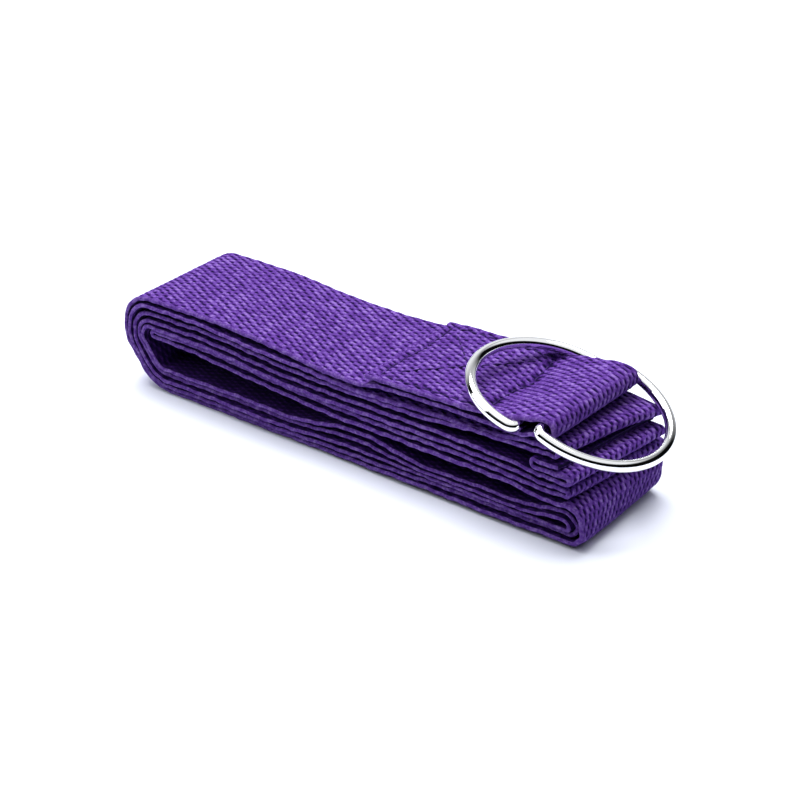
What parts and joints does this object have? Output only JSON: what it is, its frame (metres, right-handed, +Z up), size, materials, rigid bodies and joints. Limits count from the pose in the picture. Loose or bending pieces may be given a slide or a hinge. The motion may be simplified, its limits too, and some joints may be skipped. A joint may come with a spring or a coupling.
{
  "type": "stretching strap",
  "caption": "Woven webbing strap for stretching, folded flat into a pack, with paired D-rings in a sewn loop at one end that cinch the strap into an adjustable loop.",
  "frame": {"origin": "on the face that the folded pack rests on, in the middle of its width, 83.5 mm from the outside of the left-hand fold", "axes": "+X along the folded pack towards the D-rings, +Y across the webbing, +Z up out of the resting face"},
  "size_m": [0.1676, 0.045, 0.0371],
  "materials": {
    "webbing": "matte plain-weave cotton, violet",
    "thread": "polished sewing thread, matching violet",
    "ring_wire": "bright plated, smooth"
  },
  "bodies": {
    "folded_pack": {"webbing_pack": "webbing", "hem_stitches": "thread"},
    "ring_end": {"webbing_ring_end": "webbing", "ring_seam_stitches": "thread", "flap_seam_stitches": "thread", "side_seam_stitches": "thread", "cross_stitches": "thread"},
    "left_ring": {"d_ring_left": "ring_wire"},
    "right_ring": {"d_ring_right": "ring_wire"}
  },
  "joints": [
    {"name": "ring_end_lift", "type": "hinge", "parent": "folded_pack", "child": "ring_end", "pos_m": [-0.01, 0, 0.0266], "axis": [0, -1, 0], "range_deg": [0, 75]},
    {"name": "left_ring_swing", "type": "hinge", "parent": "ring_end", "child": "left_ring", "pos_m": [0.0531, 0, 0.0296], "axis": [0, 1, 0], "range_deg": [0, 75]},
    {"name": "right_ring_swing", "type": "hinge", "parent": "ring_end", "child": "right_ring", "pos_m": [0.0602, 0, 0.031], "axis": [0, -1, 0], "range_deg": [0, 110]}
  ]
}
